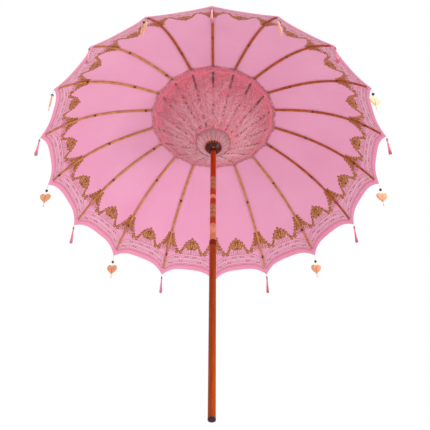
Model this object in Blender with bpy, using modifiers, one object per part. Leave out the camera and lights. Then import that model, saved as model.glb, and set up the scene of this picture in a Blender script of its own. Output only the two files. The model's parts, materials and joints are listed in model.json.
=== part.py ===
"""Two-metre garden parasol in the Balinese manner: a two-part hardwood pole, bamboo ribs and
struts, a pink cotton canopy, a web of yarn under the crown and wooden charms at the rim.

Metres, +Z up. The origin is the centre of the pole's foot. The parasol stands open."""

import math

import bmesh
import bpy
from mathutils import Matrix, Vector

GAP = 0.0003  # between pieces that touch
AFTER_BOOLEAN = 0.0000001  # weld distance that leaves a Boolean's small faces whole

# canopy and ribs
RIBS = 18
TIP_RADIUS = 1.0
CLOTH_TOP = 2.30
CLOTH_SLOPE = 0.19
CLOTH_DROOP = 0.31
DROOP_POWER = 4.4
CLOTH_THICKNESS = 0.0012
HEM_RADIUS = 0.969  # of the scalloped hem, half way between two ribs
HEM_POWER = 3.3
RIB_WIDTH, RIB_HEIGHT = 0.0125, 0.0085
RIB_BELOW_CLOTH = 0.006
RIB_END_RADIUS = 0.976
# radii where the ribs and the cloth bend together, so that the cloth clears them in between
STATIONS = (0.18, 0.36, 0.52, 0.65, 0.75, 0.83, 0.90, 0.945, RIB_END_RADIUS)

# crown
CROWN_PIVOT = Vector((0.045, 0, 2.279))
HUB_RADIUS, HUB_BOTTOM, HUB_TOP = 0.052, 2.250, 2.300
HUB_FLANGE_BOTTOM = 2.287
CLOTH_OVER_HUB, HUB_EDGE_SLOPE = 2.3022, 0.55
HUB_NOTCH_RADIUS, HUB_NOTCH_WIDTH = 0.0355, 0.0102
WIRE_RADIUS = 0.0011
WIRE_HOLE_RADIUS = 0.0016

# struts and runner
STRUT_AT_RIB_RADIUS = 0.36
RUNNER_PIVOT = Vector((0.040, 0, 1.93))
STRUT_THICKNESS, STRUT_HEIGHT = 0.006, 0.008
STRUT_END_OVERHANG = 0.004
PIN_RADIUS = 0.0012
RUNNER_BOTTOM, RUNNER_TOP = 1.885, 1.942
RUNNER_RADIUS, RUNNER_NECK_RADIUS = 0.0475, 0.0265
RUNNER_NOTCH_BOTTOM, RUNNER_NOTCH_RADIUS = 1.9215, 0.0315
RUNNER_NOTCH_WIDTH = 0.0074
RIB_SLOT_WIDTH = 0.0070
RIB_SLOT_INNER, RIB_SLOT_OUTER = 0.012, 0.021

# pole
LOWER_RADIUS, UPPER_RADIUS = 0.0178, 0.0162
POLE_SHOULDER = 1.122  # where the upper pole stands on the lower one
FERRULE_BOTTOM = 1.084
SPIGOT_RADIUS, SPIGOT_LENGTH = 0.0118, 0.108
FOOT_CAP_HEIGHT, FOOT_CAP_FLOOR, FOOT_CAP_RADIUS = 0.010, 0.004, 0.0182
FOOT_CAP_EDGE = 0.0015
POLE_STEP = 0.0020  # how far the lower pole is turned down inside its ferrule and its foot cap
FERRULE_RIM = 0.0008
UPPER_TOP = 2.298
TENON_RADIUS, TENON_TOP = 0.0110, 2.345
FINIAL_TOP = 2.475
FINIAL_FLANGE_RADIUS, FINIAL_FLANGE_HEIGHT = 0.036, 0.010
# knobs of the finial, from the flange up: widest radius, neck radius above, height of the neck
FINIAL_KNOBS = ((0.0285, 0.0135, 0.060), (0.0195, 0.0078, 0.092), (0.0120, 0.0070, 0.118))
FINIAL_FIRST_NECK_RADIUS, FINIAL_FIRST_NECK = 0.0170, 0.016
FINIAL_POINT_RADIUS = 0.0025

# locking peg
PEG_HEIGHT = 1.8965
PEG_RADIUS, PEG_HEAD_RADIUS = 0.0022, 0.0042

# string web on the underside of the struts
WEB_INNER_RADIUS, WEB_OUTER_RADIUS = 0.098, 0.350
WEB_THICKNESS = 0.0012
WEB_BELOW_STRUT = 0.0054

# charms, hung from every second corner of the canopy
HEART_WIDTH, HEART_HEIGHT, HEART_THICKNESS = 0.062, 0.086, 0.008
THREAD_RADIUS = 0.0012
BEAD_RADIUS, LOW_BEAD_RADIUS = 0.0082, 0.0042
BEAD_DROP, HEART_DROP, LOW_BEAD_DROP = 0.056, 0.086, 0.192
CHARM_TOP_DROP = 0.004
CHARM_TURNS = {1: 72, 3: 20, 9: 90, 15: 108, 17: -60}  # degrees that some charms have swivelled on their thread

SCENE_NAME = "balinese_garden_parasol"


def clear_scene():
    for old in list(bpy.data.objects):
        bpy.data.objects.remove(old, do_unlink=True)


def make_collection(name):
    made = bpy.data.collections.new(name)
    bpy.context.scene.collection.children.link(made)
    return made


def make_material(name, colour, roughness, metallic=0.0):
    made = bpy.data.materials.new(name)
    made.use_nodes = True
    shader = made.node_tree.nodes["Principled BSDF"]
    shader.inputs["Base Color"].default_value = (*colour, 1.0)
    shader.inputs["Roughness"].default_value = roughness
    shader.inputs["Metallic"].default_value = metallic
    return made


def add_object(name, data, material, location=(0, 0, 0)):
    made = bpy.data.objects.new(name, data)
    made.location = location
    if material is not None and not data.materials:
        data.materials.append(material)
    PARTS.objects.link(made)
    return made


def hide_cutter(cutter):
    for owner in list(cutter.users_collection):
        owner.objects.unlink(cutter)
    CUTTERS.objects.link(cutter)
    cutter.hide_render = True
    cutter.display_type = "WIRE"


def smooth(data, angle=math.radians(35)):
    data.shade_smooth()
    data.set_sharp_from_angle(angle=angle)


# ---- the shape of the canopy -------------------------------------------------------------


def cloth_height(radius):
    """Height of the cloth over a rib."""
    over_hub = CLOTH_OVER_HUB - HUB_EDGE_SLOPE * max(0.0, radius - HUB_RADIUS - 0.005)
    over_rib = CLOTH_TOP - CLOTH_SLOPE * radius - CLOTH_DROOP * radius**DROOP_POWER
    return max(over_rib, over_hub)


def rib_point(radius):
    """Middle of a rib, square below the cloth at this radius."""
    slope = -CLOTH_SLOPE - CLOTH_DROOP * DROOP_POWER * radius ** (DROOP_POWER - 1)
    down = Vector((slope, 0, -1)).normalized()
    height = CLOTH_TOP - CLOTH_SLOPE * radius - CLOTH_DROOP * radius**DROOP_POWER
    return Vector((radius, 0, height)) + down * RIB_BELOW_CLOTH


def rib_azimuth(index):
    """The first rib points to -Y, and the others follow it anticlockwise from above."""
    return -math.pi / 2 + index * 2 * math.pi / RIBS


STRUT_PIVOT = rib_point(STRUT_AT_RIB_RADIUS)


# ---- ways of making a piece --------------------------------------------------------------


def turned(name, profile, material, steps=20, angle=math.radians(35)):
    """A solid of revolution. profile is a closed or axis-to-axis run of (radius, height),
    down its outer side."""
    data = bpy.data.meshes.new(name)
    closed = profile[0][0] > 0
    edges = [(i, i + 1) for i in range(len(profile) - 1)]
    if closed:
        edges.append((len(profile) - 1, 0))
    data.from_pydata([(radius, 0, height) for radius, height in profile], edges, [])
    made = add_object(name, data, material)
    screw = made.modifiers.new("Turn", "SCREW")
    screw.steps = screw.render_steps = steps
    screw.use_merge_vertices = True
    screw.merge_threshold = 0.00001
    screw.use_smooth_shade = True
    return as_mesh(made, angle)


def as_mesh(obj, angle=math.radians(35), weld=0.00001):
    """Turns a curve, or an object with modifiers, into a plain welded mesh."""
    graph = bpy.context.evaluated_depsgraph_get()
    data = bpy.data.meshes.new_from_object(obj.evaluated_get(graph))
    shape = bmesh.new()
    shape.from_mesh(data)
    bmesh.ops.remove_doubles(shape, verts=shape.verts, dist=weld)
    bmesh.ops.recalc_face_normals(shape, faces=shape.faces)
    shape.to_mesh(data)
    shape.free()
    smooth(data, angle)
    made = bpy.data.objects.new(obj.name, data)
    made.matrix_world = obj.matrix_world.copy()
    PARTS.objects.link(made)
    name = obj.name
    bpy.data.objects.remove(obj, do_unlink=True)
    made.name = data.name = name
    return made


def boolean(obj, other, operation):
    change = obj.modifiers.new(operation.title(), "BOOLEAN")
    change.operation = operation
    change.object = other
    change.solver = "EXACT"


def flat_piece(name, outline, holes, thickness, material):
    """A flat shape in the XZ plane, with this thickness along Y."""
    data = bpy.data.curves.new(name, "CURVE")
    data.dimensions = "2D"
    data.fill_mode = "BOTH"
    data.extrude = thickness / 2
    for run in [outline, *holes]:
        line = data.splines.new("POLY")
        line.points.add(len(run) - 1)
        line.use_cyclic_u = True
        for point, (across, up) in zip(line.points, run):
            point.co = (across, up, 0, 1)
    made = add_object(name, data, material)
    made.matrix_world = Matrix.Rotation(math.pi / 2, 4, "X")
    made = as_mesh(made)
    made.data.transform(made.matrix_world)
    made.matrix_world = Matrix.Identity(4)
    return made


def arc(centre, radius, start, end, steps):
    """Points of an arc, in degrees."""
    turns = [math.radians(start + (end - start) * i / steps) for i in range(steps + 1)]
    return [(centre[0] + radius * math.cos(t), centre[1] + radius * math.sin(t)) for t in turns]


def rod(name, radius, start, end, sides=12):
    """A plain round cylinder between two points."""
    shape = bmesh.new()
    start, end = Vector(start), Vector(end)
    turn = (end - start).to_track_quat("Z", "Y").to_matrix().to_4x4()
    place = Matrix.Translation((start + end) / 2) @ turn
    bmesh.ops.create_cone(
        shape, cap_ends=True, segments=sides, radius1=radius, radius2=radius,
        depth=(end - start).length, matrix=place,
    )
    data = bpy.data.meshes.new(name)
    shape.to_mesh(data)
    shape.free()
    return add_object(name, data, None)


def box(name, low, high):
    shape = bmesh.new()
    bmesh.ops.create_cube(shape, size=1.0)
    for vert in shape.verts:
        vert.co = Vector([a + (b - a) * (c + 0.5) for a, b, c in zip(low, high, vert.co)])
    data = bpy.data.meshes.new(name)
    shape.to_mesh(data)
    shape.free()
    return add_object(name, data, None)


def round_the_axis(name, tool):
    """One cutter holding a copy of this tool at each rib's azimuth."""
    shape = bmesh.new()
    for index in range(RIBS):
        before = len(shape.verts)
        shape.from_mesh(tool.data)
        shape.verts.ensure_lookup_table()
        turn = Matrix.Rotation(rib_azimuth(index), 4, "Z")
        bmesh.ops.transform(shape, matrix=turn, verts=shape.verts[before:])
    data = bpy.data.meshes.new(name)
    shape.to_mesh(data)
    shape.free()
    bpy.data.objects.remove(tool, do_unlink=True)
    made = add_object(name, data, None)
    hide_cutter(made)
    return made


def ring(name, major, minor, height, material, major_steps=36, minor_steps=6):
    """A wire ring about the parasol's axis."""
    circle = [
        (major + minor * math.cos(-t), height + minor * math.sin(-t))
        for t in [2 * math.pi * i / minor_steps for i in range(minor_steps)]
    ]
    return turned(name, circle, material, steps=major_steps)


def put_on_rib(obj, index, pivot):
    """Places a piece that is modelled about its own pivot, on the rib with this index."""
    turn = Matrix.Rotation(rib_azimuth(index), 4, "Z")
    obj.matrix_world = turn @ Matrix.Translation(pivot)


def keep_place(child, parent):
    place = child.matrix_world.copy()
    child.parent = parent
    child.matrix_parent_inverse = parent.matrix_world.inverted()
    child.matrix_world = place


# ---- pole --------------------------------------------------------------------------------


def make_lower_pole(wood):
    socket = SPIGOT_RADIUS + 0.0005
    bottom = FOOT_CAP_FLOOR + GAP
    top = POLE_SHOULDER - 2 * GAP
    cap_step = FOOT_CAP_HEIGHT + GAP
    turned_down = LOWER_RADIUS - POLE_STEP
    profile = [
        (socket, top), (turned_down, top), (turned_down, FERRULE_BOTTOM),
        (LOWER_RADIUS, FERRULE_BOTTOM), (LOWER_RADIUS, cap_step), (turned_down, cap_step),
        (turned_down, bottom), (0, bottom),
    ]
    well = POLE_SHOULDER - SPIGOT_LENGTH - 0.004
    return turned("lower_pole", [(0, well), (socket, well), *profile], wood)


def make_foot_cap(material):
    wall = LOWER_RADIUS - POLE_STEP + GAP
    profile = [
        (0, FOOT_CAP_FLOOR), (wall, FOOT_CAP_FLOOR), (wall, FOOT_CAP_HEIGHT),
        (FOOT_CAP_RADIUS, FOOT_CAP_HEIGHT), (FOOT_CAP_RADIUS, FOOT_CAP_EDGE),
        (FOOT_CAP_RADIUS - FOOT_CAP_EDGE, 0), (0, 0),
    ]
    return turned("foot_cap", profile, material)


def make_ferrule(material):
    inner = LOWER_RADIUS - POLE_STEP + GAP
    outer = LOWER_RADIUS + FERRULE_RIM
    bottom, top = FERRULE_BOTTOM + GAP, POLE_SHOULDER - 2 * GAP
    edge = FERRULE_RIM
    profile = [
        (inner, top), (outer - edge, top), (outer, top - edge),
        (outer, bottom + edge), (outer - edge, bottom), (inner, bottom),
    ]
    return turned("pole_ferrule", profile, material)


def make_upper_pole(wood):
    foot = POLE_SHOULDER - SPIGOT_LENGTH
    profile = [
        (0, TENON_TOP), (TENON_RADIUS, TENON_TOP), (TENON_RADIUS, UPPER_TOP), (UPPER_RADIUS, UPPER_TOP),
        (UPPER_RADIUS, POLE_SHOULDER), (SPIGOT_RADIUS, POLE_SHOULDER), (SPIGOT_RADIUS, foot + 0.002),
        (SPIGOT_RADIUS - 0.002, foot), (0, foot),
    ]
    pole = turned("upper_pole", profile, wood)
    hole = rod("peg_hole_cutter", PEG_RADIUS + 0.0006, (0, -0.03, PEG_HEIGHT), (0, 0.03, PEG_HEIGHT))
    hide_cutter(hole)
    boolean(pole, hole, "DIFFERENCE")
    return pole


def make_finial(gilt):
    """A turned and gilded spire that clamps the middle of the cloth on the hub."""
    base = CLOTH_OVER_HUB + CLOTH_THICKNESS / 2 + GAP
    bore = TENON_RADIUS + 0.0004
    bore_top = TENON_TOP + 0.002
    flange, flange_top = FINIAL_FLANGE_RADIUS, base + FINIAL_FLANGE_HEIGHT
    edge = 0.002
    profile = [
        (0, bore_top), (bore, bore_top), (bore, base), (flange - edge, base),
        (flange, base + 2 * edge), (flange - edge, flange_top - edge / 2),
    ]
    neck, low = FINIAL_FIRST_NECK_RADIUS, base + FINIAL_FIRST_NECK
    profile.append((neck, low))
    for widest, neck_above, height in FINIAL_KNOBS:
        high = base + height
        for share in (0.25, 0.5, 0.75, 1.0):
            between = neck + (neck_above - neck) * share
            bulge = math.sin(math.pi * share) ** 0.7 if share < 1 else 0.0
            profile.append((between + (widest - between) * bulge, low + (high - low) * share))
        neck, low = neck_above, high
    profile += [(FINIAL_POINT_RADIUS, FINIAL_TOP - 0.006), (0, FINIAL_TOP)]
    return turned("finial", profile[::-1], gilt, steps=18, angle=math.radians(50))


# ---- crown and runner --------------------------------------------------------------------


def make_crown_hub(wood):
    bore = UPPER_RADIUS + GAP
    edge = 0.003
    profile = [
        (bore, HUB_TOP), (HUB_RADIUS - edge, HUB_TOP), (HUB_RADIUS, HUB_TOP - edge),
        (HUB_RADIUS, HUB_BOTTOM + 0.012), (HUB_RADIUS - 0.006, HUB_BOTTOM + 0.004),
        (HUB_RADIUS - 0.018, HUB_BOTTOM), (bore, HUB_BOTTOM),
    ]
    hub = turned("crown_hub", profile, wood, steps=24)
    half = HUB_NOTCH_WIDTH / 2
    notch = box(
        "hub_notch", (HUB_NOTCH_RADIUS, -half, HUB_BOTTOM - 0.01), (0.08, half, HUB_FLANGE_BOTTOM)
    )
    boolean(hub, round_the_axis("hub_notch_cutter", notch), "DIFFERENCE")
    tunnel = ring("hub_wire_cutter", CROWN_PIVOT.x, WIRE_HOLE_RADIUS, CROWN_PIVOT.z, None)
    hide_cutter(tunnel)
    boolean(hub, tunnel, "DIFFERENCE")
    return hub


def make_runner(wood):
    bore = UPPER_RADIUS + 0.0006
    low, high = RUNNER_BOTTOM, RUNNER_TOP
    neck, rim = RUNNER_NECK_RADIUS, RUNNER_RADIUS
    profile = [
        (bore, high), (rim - 0.008, high), (rim - 0.002, high - 0.002), (rim, high - 0.006),
        (rim, high - 0.016), (rim - 0.002, high - 0.021), (rim - 0.009, high - 0.028),
        (neck + 0.004, low + 0.021), (neck, low + 0.016), (neck, low + 0.006),
        (neck - 0.001, low + 0.002), (neck - 0.004, low), (bore, low),
    ]
    runner = turned("runner", profile, wood, steps=24)
    half = RUNNER_NOTCH_WIDTH / 2
    notch = box(
        "runner_notch", (RUNNER_NOTCH_RADIUS, -half, RUNNER_NOTCH_BOTTOM), (0.08, half, high + 0.01)
    )
    boolean(runner, round_the_axis("runner_notch_cutter", notch), "DIFFERENCE")
    tunnel = ring("runner_wire_cutter", RUNNER_PIVOT.x, WIRE_HOLE_RADIUS, RUNNER_PIVOT.z, None)
    hide_cutter(tunnel)
    boolean(runner, tunnel, "DIFFERENCE")
    hole = rod("runner_peg_cutter", PEG_RADIUS + GAP, (0, -0.05, PEG_HEIGHT), (0, 0, PEG_HEIGHT))
    hide_cutter(hole)
    boolean(runner, hole, "DIFFERENCE")
    return runner


def make_peg(material):
    """The peg under a lifted runner, drawn out toward -Y. It ends at the pole's skin."""
    shank_end = UPPER_RADIUS + GAP
    seat = RUNNER_NECK_RADIUS + GAP
    profile = [
        (0, shank_end), (PEG_RADIUS, shank_end), (PEG_RADIUS, seat), (PEG_HEAD_RADIUS, seat),
        (PEG_HEAD_RADIUS, seat + 0.002), (PEG_HEAD_RADIUS * 0.7, seat + 0.0045), (0, seat + 0.0055),
    ]
    peg = turned("locking_peg", profile[::-1], material, steps=12)
    peg.matrix_world = Matrix.Translation((0, 0, PEG_HEIGHT)) @ Matrix.Rotation(math.pi / 2, 4, "X")
    return peg


# ---- ribs and struts ---------------------------------------------------------------------


def rounded_section(name, width, height, corner):
    """A rounded rectangle, as the section of a curve."""
    data = bpy.data.curves.new(name, "CURVE")
    data.dimensions = "2D"
    line = data.splines.new("POLY")
    corners = []
    for centre_x, centre_y, start in ((1, 1, 0), (-1, 1, 90), (-1, -1, 180), (1, -1, 270)):
        middle = (centre_x * (width / 2 - corner), centre_y * (height / 2 - corner))
        corners += arc(middle, corner, start, start + 90, 1)
    line.points.add(len(corners) - 1)
    line.use_cyclic_u = True
    for point, (across, up) in zip(line.points, corners):
        point.co = (across, up, 0, 1)
    made = bpy.data.objects.new(name, data)
    hide_cutter(made)
    return made


def make_rib_blank(bamboo):
    """One rib about its crown pivot, running out along +X."""
    section = rounded_section("rib_section", RIB_WIDTH, RIB_HEIGHT, 0.0025)
    inner_end = CROWN_PIVOT + Vector((-0.0048, 0, 0))
    route = [inner_end, CROWN_PIVOT] + [rib_point(radius) for radius in (0.08, *STATIONS)]
    data = bpy.data.curves.new("rib_blank", "CURVE")
    data.dimensions = "3D"
    data.twist_mode = "Z_UP"
    data.bevel_mode = "OBJECT"
    data.bevel_object = section
    data.use_fill_caps = True
    line = data.splines.new("POLY")
    line.points.add(len(route) - 1)
    for point, place in zip(line.points, route):
        point.co = (*(place - CROWN_PIVOT), 1)
        at_crown = min(1.0, 0.70 + (place.x - CROWN_PIVOT.x) * 2.4)
        at_tip = min(1.0, 0.72 + (RIB_END_RADIUS - place.x) * 0.9)
        point.radius = min(at_crown, at_tip)
    rib = as_mesh(add_object("rib_blank", data, bamboo))

    eye = rod("rib_eye_cutter", WIRE_HOLE_RADIUS + 0.0001, (0, -0.02, 0), (0, 0.02, 0), sides=8)
    pivot = STRUT_PIVOT - CROWN_PIVOT
    slot = box(
        "rib_slot_cutter",
        (-RIB_SLOT_INNER, -RIB_SLOT_WIDTH / 2, -0.02), (RIB_SLOT_OUTER, RIB_SLOT_WIDTH / 2, 0.02),
    )
    slope = rib_point(STRUT_AT_RIB_RADIUS + 0.01) - rib_point(STRUT_AT_RIB_RADIUS - 0.01)
    tilt = math.atan2(-slope.z, slope.x)
    slot.matrix_world = Matrix.Translation(pivot) @ Matrix.Rotation(tilt, 4, "Y")
    half = RIB_WIDTH / 2 - 0.001
    reach = Vector((0, half, 0))
    pin = rod("rib_pin", PIN_RADIUS, pivot - reach, pivot + reach, sides=8)
    for cutter in (eye, slot):
        boolean(rib, cutter, "DIFFERENCE")
        hide_cutter(cutter)
    boolean(rib, pin, "UNION")
    hide_cutter(pin)
    return as_mesh(rib, weld=AFTER_BOOLEAN)


def make_strut_blank(bamboo):
    """One strut about its pivot on the rib, running down to the runner in the XZ plane."""
    run = RUNNER_PIVOT - STRUT_PIVOT
    length = run.length
    half = STRUT_HEIGHT / 2
    seat = WIRE_RADIUS + GAP
    # along = distance from the rib pivot toward the runner, up = across the strut
    outline = [(-a, b) for a, b in arc((0, 0), half, -90, 90, 8)]
    wire_step = [(length - 0.0075, half), (length - 0.0018, -seat), (length + STRUT_END_OVERHANG, -seat)]
    foot = [(length + STRUT_END_OVERHANG, -half * 0.8), (length + STRUT_END_OVERHANG * 0.6, -half)]
    outline = outline + wire_step + foot
    eye = arc((0, 0), PIN_RADIUS + 0.0005, 0, 330, 11)
    strut = flat_piece("strut_blank", outline, [eye], STRUT_THICKNESS, bamboo)
    # turn the strut from +X to its real direction, with its upper edge staying uppermost
    toward = math.atan2(run.z, run.x)
    mirror = Matrix.Scale(-1, 4, (0, 0, 1))
    strut.data.transform(Matrix.Rotation(-toward, 4, "Y") @ mirror)
    strut.data.flip_normals()
    return strut


# ---- cloth, web and charms ---------------------------------------------------------------


def hem_radius(share):
    """Rib radius of the hem. share is 0 half way between two ribs, and 1 or -1 at a rib."""
    return HEM_RADIUS + (TIP_RADIUS - HEM_RADIUS) * abs(share) ** HEM_POWER


def gore_surface(name, runs, per_gore, height_at, thickness, material):
    """An open surface that is straight from rib to rib, with Solidify. runs are shares from
    the inner radius to the outer one, and height_at gives (radius, height) for a run."""
    steps = RIBS * per_gore
    shape = bmesh.new()
    rows = []
    for run in runs:
        row = []
        for step in range(steps):
            within = (step % per_gore) / per_gore
            share = 2 * within - 1 if within else 1.0
            radius, height = height_at(run, share)
            first = rib_azimuth(step // per_gore)
            after = first + 2 * math.pi / RIBS
            flat = Vector((math.cos(first), math.sin(first))).lerp(
                Vector((math.cos(after), math.sin(after))), within
            )
            row.append(shape.verts.new((radius * flat.x, radius * flat.y, height)))
        rows.append(row)
    for low, high in zip(rows, rows[1:]):
        for i in range(steps):
            j = (i + 1) % steps
            shape.faces.new((low[i], high[i], high[j], low[j]))
    bmesh.ops.recalc_face_normals(shape, faces=shape.faces)
    data = bpy.data.meshes.new(name)
    shape.to_mesh(data)
    shape.free()
    made = add_object(name, data, material)
    shell = made.modifiers.new("Cloth", "SOLIDIFY")
    shell.thickness = thickness
    shell.offset = 0
    return made


def make_canopy(cloth):
    inner = TENON_RADIUS + 0.001

    def height_at(run, share):
        radius = inner + (hem_radius(share) - inner) * run
        return radius, cloth_height(radius)

    radii = (inner, HUB_RADIUS + 0.005, 0.10, *STATIONS, TIP_RADIUS)
    runs = [(radius - inner) / (TIP_RADIUS - inner) for radius in radii]
    return gore_surface("canopy_cloth", runs, 3, height_at, CLOTH_THICKNESS, cloth)


def make_web(yarn):
    along = (STRUT_PIVOT - RUNNER_PIVOT).normalized()
    below = Vector((along.z, 0, -along.x)) * WEB_BELOW_STRUT

    def height_at(run, share):
        radius = WEB_INNER_RADIUS + (WEB_OUTER_RADIUS - WEB_INNER_RADIUS) * run
        on_strut = RUNNER_PIVOT + along * ((radius - RUNNER_PIVOT.x) / along.x) + below
        return on_strut.x, on_strut.z

    return gore_surface("string_web", [0, 0.5, 1.0], 2, height_at, WEB_THICKNESS, yarn)


def heart_outline(steps=22):
    """A heart with a shallow notch and a long point, its top at 0."""
    points = []
    for i in range(steps):
        t = 2 * math.pi * i / steps
        across = math.sin(t) ** 3
        up = (13 * math.cos(t) - 5 * math.cos(2 * t) - 2 * math.cos(3 * t) - math.cos(4 * t)) / 29
        points.append((across * HEART_WIDTH / 2, (up - 0.41) * HEART_HEIGHT))
    return points


def bead(name, radius, height):
    shape = bmesh.new()
    bmesh.ops.create_uvsphere(
        shape, u_segments=7, v_segments=4, radius=radius, matrix=Matrix.Translation((0, 0, height))
    )
    data = bpy.data.meshes.new(name)
    shape.to_mesh(data)
    shape.free()
    return add_object(name, data, None)


def make_charm_blank(wood):
    """Thread, bead, heart and end bead in one piece, hanging from the origin."""
    heart = flat_piece("charm_blank", heart_outline(), [], HEART_THICKNESS, wood)
    heart.data.transform(Matrix.Translation((0, 0, -HEART_DROP)))
    extras = [
        rod("charm_thread", THREAD_RADIUS, (0, 0, -CHARM_TOP_DROP), (0, 0, -LOW_BEAD_DROP), sides=5),
        bead("charm_bead", BEAD_RADIUS, -BEAD_DROP),
        bead("charm_end_bead", LOW_BEAD_RADIUS, -LOW_BEAD_DROP),
    ]
    for extra in extras:
        boolean(heart, extra, "UNION")
        hide_cutter(extra)
    return as_mesh(heart, weld=AFTER_BOOLEAN)


def make_copies(blank, stem, indices, pivot):
    """One object for each index, sharing the blank's mesh, and the blank is removed."""
    made = {}
    for number, index in enumerate(indices, 1):
        copy = add_object(f"{stem}_{number:02d}", blank.data, None)
        put_on_rib(copy, index, pivot)
        made[index] = copy
    bpy.data.objects.remove(blank, do_unlink=True)
    return made


# ---- the parasol -------------------------------------------------------------------------

clear_scene()
PARTS = make_collection(SCENE_NAME)
CUTTERS = make_collection("cutters")

pole_wood = make_material("varnished_hardwood", (0.36, 0.07, 0.012), 0.28)
dark_wood = make_material("dark_mahogany", (0.055, 0.012, 0.010), 0.3)
bamboo = make_material("bamboo", (0.52, 0.25, 0.09), 0.45)
pink_cotton = make_material("pink_cotton", (0.85, 0.36, 0.56), 0.85)
pink_yarn = make_material("pink_yarn", (0.78, 0.22, 0.32), 0.9)
gilt = make_material("gold_paint", (0.62, 0.33, 0.09), 0.35, 0.6)
brass = make_material("brass_wire", (0.70, 0.48, 0.18), 0.3, 1.0)
charm_wood = make_material("pale_charm_wood", (0.78, 0.46, 0.24), 0.55)
rubber = make_material("foot_cap_rubber", (0.09, 0.035, 0.04), 0.6)

lower_pole = make_lower_pole(pole_wood)
for piece in (make_foot_cap(rubber), make_ferrule(dark_wood)):
    keep_place(piece, lower_pole)

upper_pole = make_upper_pole(pole_wood)
keep_place(upper_pole, lower_pole)
crown_ring = ring("crown_ring", CROWN_PIVOT.x, WIRE_RADIUS, CROWN_PIVOT.z, brass)
for piece in (make_crown_hub(dark_wood), crown_ring, make_finial(gilt)):
    keep_place(piece, upper_pole)
for piece in (make_canopy(pink_cotton), make_web(pink_yarn)):
    keep_place(piece, upper_pole)

runner = make_runner(dark_wood)
keep_place(runner, upper_pole)
runner_ring = ring("runner_ring", RUNNER_PIVOT.x, WIRE_RADIUS, RUNNER_PIVOT.z, brass)
for piece in (runner_ring, make_peg(brass)):
    keep_place(piece, runner)

ribs = make_copies(make_rib_blank(bamboo), "rib", range(RIBS), CROWN_PIVOT)
struts = make_copies(make_strut_blank(bamboo), "strut", range(RIBS), STRUT_PIVOT)
tip_pivot = Vector((TIP_RADIUS, 0, cloth_height(TIP_RADIUS)))
charms = make_copies(make_charm_blank(charm_wood), "heart_charm", range(1, RIBS, 2), tip_pivot)
for index, rib in ribs.items():
    keep_place(rib, upper_pole)
    keep_place(struts[index], rib)
for index, charm in charms.items():
    place = charm.matrix_world.translation
    turn = math.radians(CHARM_TURNS.get(index, 0))
    charm.matrix_world = Matrix.Translation(place) @ Matrix.Rotation(turn, 4, "Z")
    keep_place(charm, ribs[index])
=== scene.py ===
"""Looks of the open garden parasol: cotton canopy with a painted border, yarn web, bamboo ribs
and struts, jointed pole, runner, finial, wooden charms and tassels. Metres, +Z up, built on
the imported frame."""

import json
import math
import random

import bpy
import numpy as np
from mathutils import Matrix, Vector

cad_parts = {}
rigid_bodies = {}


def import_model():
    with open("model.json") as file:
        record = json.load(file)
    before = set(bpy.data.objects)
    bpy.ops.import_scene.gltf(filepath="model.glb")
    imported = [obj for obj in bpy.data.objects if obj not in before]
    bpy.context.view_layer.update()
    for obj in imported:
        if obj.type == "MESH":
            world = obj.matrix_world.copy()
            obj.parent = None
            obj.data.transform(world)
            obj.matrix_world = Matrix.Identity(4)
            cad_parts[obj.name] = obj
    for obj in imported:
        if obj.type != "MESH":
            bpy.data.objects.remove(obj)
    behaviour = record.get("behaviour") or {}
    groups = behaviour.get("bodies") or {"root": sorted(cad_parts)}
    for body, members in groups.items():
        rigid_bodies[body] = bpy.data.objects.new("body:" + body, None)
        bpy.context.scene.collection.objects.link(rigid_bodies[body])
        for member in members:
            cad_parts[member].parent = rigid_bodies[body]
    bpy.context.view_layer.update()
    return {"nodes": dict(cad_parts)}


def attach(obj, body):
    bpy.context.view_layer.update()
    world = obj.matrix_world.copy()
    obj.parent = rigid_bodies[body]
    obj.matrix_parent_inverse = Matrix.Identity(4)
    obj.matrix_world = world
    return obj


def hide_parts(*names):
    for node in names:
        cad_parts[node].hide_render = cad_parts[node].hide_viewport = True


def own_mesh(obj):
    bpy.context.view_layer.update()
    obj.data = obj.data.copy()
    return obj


for startup in list(bpy.data.objects):
    bpy.data.objects.remove(startup, do_unlink=True)
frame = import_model()

# ---- the parasol's shape, as the frame has it

RIBS = 18
GORE = 2 * math.pi / RIBS
HALF_CHORD = math.sin(GORE / 2)
TIP_RADIUS = 1.0
CLOTH_TOP, CLOTH_SLOPE, CLOTH_DROOP, DROOP_POWER = 2.30, 0.19, 0.31, 4.4
CLOTH_OVER_HUB, HUB_EDGE, HUB_EDGE_SLOPE = 2.3022, 0.057, 0.55
HEM_RADIUS, HEM_POWER = 0.969, 3.3
CLOTH_HALF = 0.0006
CLOTH_SAG, CLOTH_PULL = 0.0030, 0.0009
RIB_END_RADIUS = 0.976
RIB_BELOW_CLOTH = 0.006
CROWN_PIVOT = (0.045, 2.279)
RUNNER_PIVOT = (0.040, 1.93)
STRUT_AT_RIB = 0.36
WEB_BELOW_STRUT = 0.0054
LOWER_RADIUS, UPPER_RADIUS = 0.0178, 0.0162
TIP_HEIGHT = CLOTH_TOP - CLOTH_SLOPE - CLOTH_DROOP


def azimuth(k):
    return -math.pi / 2 + k * GORE


def unit(k):
    return np.array([math.cos(azimuth(k)), math.sin(azimuth(k))])


def tangent(k):
    return (-math.sin(azimuth(k)), math.cos(azimuth(k)), 0.0)


def numbered(stem, k):
    return f"{stem}_{k + 1:02d}"


def rib_height(r):
    return CLOTH_TOP - CLOTH_SLOPE * r - CLOTH_DROOP * r**DROOP_POWER


def rib_slope(r):
    return -CLOTH_SLOPE - CLOTH_DROOP * DROOP_POWER * r ** (DROOP_POWER - 1)


def cloth_height(r):
    over_hub = CLOTH_OVER_HUB - HUB_EDGE_SLOPE * np.maximum(0.0, r - HUB_EDGE)
    return np.maximum(rib_height(r), over_hub)


def hem_radius(t):
    return HEM_RADIUS + (TIP_RADIUS - HEM_RADIUS) * np.maximum(0, 1 - np.abs(t)) ** HEM_POWER


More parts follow.
